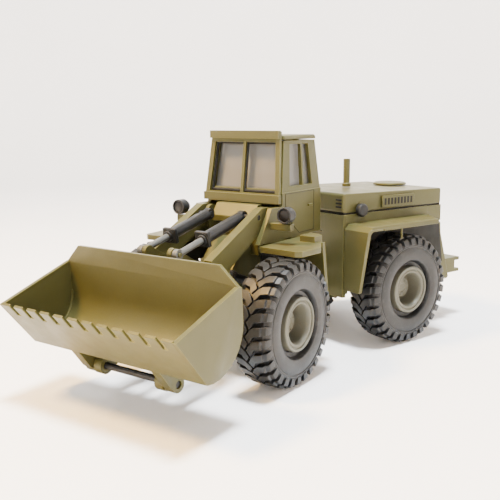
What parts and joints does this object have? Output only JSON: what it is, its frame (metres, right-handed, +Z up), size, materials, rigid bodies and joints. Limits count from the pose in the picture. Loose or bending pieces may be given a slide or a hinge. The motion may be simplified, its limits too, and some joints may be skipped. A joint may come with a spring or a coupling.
{
  "type": "toy front loader",
  "caption": "Toy articulated wheel loader with a toothed bucket, a boom with hydraulic cylinders, a square cab, steel-look rims and large treaded tyres.",
  "frame": {"origin": "middle of the model's rest box, on the ground under it", "axes": "+Z up. The front half faces -Y, with its own left (the driver's left) at +X; the rear half is steered 17.9 degrees about Z towards +X. X = -0.0058 m is the front half's centre plane."},
  "size_m": [0.0696, 0.1574, 0.0681],
  "materials": {
    "paint": "olive-yellow gloss paint on die-cast metal",
    "black": "black satin",
    "steel": "plain turned steel",
    "tyre": "matt black rubber",
    "glazing": "clear plastic window insert",
    "interior": "black plastic"
  },
  "bodies": {
    "front_half": {"front_frame": "paint", "tower_cover": "paint", "steering_pin": "steel", "boom_pivot_pin_left": "steel", "boom_pivot_pin_right": "steel", "front_fender_left": "paint", "front_fender_right": "paint", "headlight_bracket_left": "paint", "headlight_bracket_right": "paint", "headlight_left": "black", "headlight_right": "black", "cab_body": "paint", "cab_roof": "paint", "windscreen_frame": "paint", "cab_glazing": "glazing", "cab_interior": "interior", "steering_wheel": "interior"},
    "front_wheels": {"front_axle": "steel", "front_rim_left": "paint", "front_rim_right": "paint", "front_tyre_left": "tyre", "front_tyre_right": "tyre"},
    "boom": {"boom_arm_left": "paint", "boom_arm_right": "paint", "lever_shaft": "black", "tilt_base_pin_left": "black", "tilt_base_pin_right": "black"},
    "bucket": {"bucket": "paint", "bucket_hinge_pin": "black"},
    "tilt_lever": {"tilt_lever": "paint"},
    "tilt_links": {"tilt_link_left": "paint", "tilt_link_right": "paint"},
    "tilt_barrels": {"tilt_barrel_left": "black", "tilt_barrel_right": "black"},
    "tilt_rods": {"tilt_rod_left": "steel", "tilt_rod_right": "steel"},
    "lift_barrels": {"lift_barrel_left": "black", "lift_barrel_right": "black"},
    "lift_rods": {"lift_rod_left": "steel", "lift_rod_right": "steel"},
    "rear_half": {"rear_frame": "paint", "axle_pivot_pin": "steel", "rear_body": "paint", "engine_hood": "paint", "radiator_grille": "black", "counterweight": "paint", "tow_hitch": "paint", "rear_fender_left": "paint", "rear_fender_right": "paint", "exhaust_pipe": "paint", "fan_cover": "paint", "fuel_cap": "black", "side_plate_left": "paint", "side_plate_right": "paint"},
    "rear_axle_carrier": {"rear_axle_carrier": "paint"},
    "rear_wheels": {"rear_axle": "steel", "rear_rim_left": "paint", "rear_rim_right": "paint", "rear_tyre_left": "tyre", "rear_tyre_right": "tyre"}
  },
  "joints": [
    {"name": "steering", "type": "hinge", "parent": "front_half", "child": "rear_half", "pos_m": [-0.00576, 0.00462, 0.021], "axis": [0, 0, 1], "range_deg": [-17.1, 52.9]},
    {"name": "front_wheels_roll", "type": "hinge", "parent": "front_half", "child": "front_wheels", "pos_m": [-0.00576, -0.02678, 0.0175], "axis": [1, 0, 0], "continuous": true},
    {"name": "rear_axle_rock", "type": "hinge", "parent": "rear_half", "child": "rear_axle_carrier", "pos_m": [0.00423, 0.03554, 0.0222], "axis": [0.3074, 0.9516, 0], "range_deg": [-5, 5]},
    {"name": "rear_wheels_roll", "type": "hinge", "parent": "rear_axle_carrier", "child": "rear_wheels", "pos_m": [0.00423, 0.03554, 0.0175], "axis": [0.9516, -0.3074, 0], "continuous": true},
    {"name": "boom_lift", "type": "hinge", "parent": "front_half", "child": "boom", "pos_m": [-0.00576, -0.01878, 0.0444], "axis": [-1, 0, 0], "range_deg": [-8, 50]},
    {"name": "bucket_tilt", "type": "hinge", "parent": "boom", "child": "bucket", "pos_m": [-0.00576, -0.06198, 0.0091], "axis": [1, 0, 0], "range_deg": [0, 100]},
    {"name": "lift_barrels_swing", "type": "hinge", "parent": "front_half", "child": "lift_barrels", "pos_m": [-0.00576, -0.01137, 0.02158], "axis": [-1, 0, 0], "range_deg": [-4.1, 25.1]},
    {"name": "lift_rods_swing", "type": "hinge", "parent": "boom", "child": "lift_rods", "pos_m": [-0.00576, -0.03957, 0.0324], "axis": [-1, 0, 0], "range_deg": [-25.1, 4.1]},
    {"name": "tilt_lever_swing", "type": "hinge", "parent": "boom", "child": "tilt_lever", "pos_m": [-0.00576, -0.03803, 0.025], "axis": [1, 0, 0], "range_deg": [0, 76.9]},
    {"name": "tilt_links_swing", "type": "hinge", "parent": "tilt_lever", "child": "tilt_links", "pos_m": [-0.00576, -0.03479, 0.02946], "axis": [1, 0, 0], "range_deg": [-80.6, 0]},
    {"name": "tilt_barrels_swing", "type": "hinge", "parent": "boom", "child": "tilt_barrels", "pos_m": [-0.00576, -0.02298, 0.0445], "axis": [1, 0, 0], "range_deg": [0, 29.7]},
    {"name": "tilt_rods_swing", "type": "hinge", "parent": "tilt_lever", "child": "tilt_rods", "pos_m": [-0.00576, -0.05078, 0.0379], "axis": [1, 0, 0], "range_deg": [-47.3, 0]}
  ],
  "couplings": [
    {"joint": "lift_barrels_swing", "follows": "boom_lift", "ratio": 0.5},
    {"joint": "lift_rods_swing", "follows": "boom_lift", "ratio": -0.5},
    {"joint": "tilt_lever_swing", "follows": "bucket_tilt", "ratio": 0.768},
    {"joint": "tilt_links_swing", "follows": "bucket_tilt", "ratio": -0.805},
    {"joint": "tilt_barrels_swing", "follows": "bucket_tilt", "ratio": 0.296},
    {"joint": "tilt_rods_swing", "follows": "bucket_tilt", "ratio": -0.472}
  ]
}
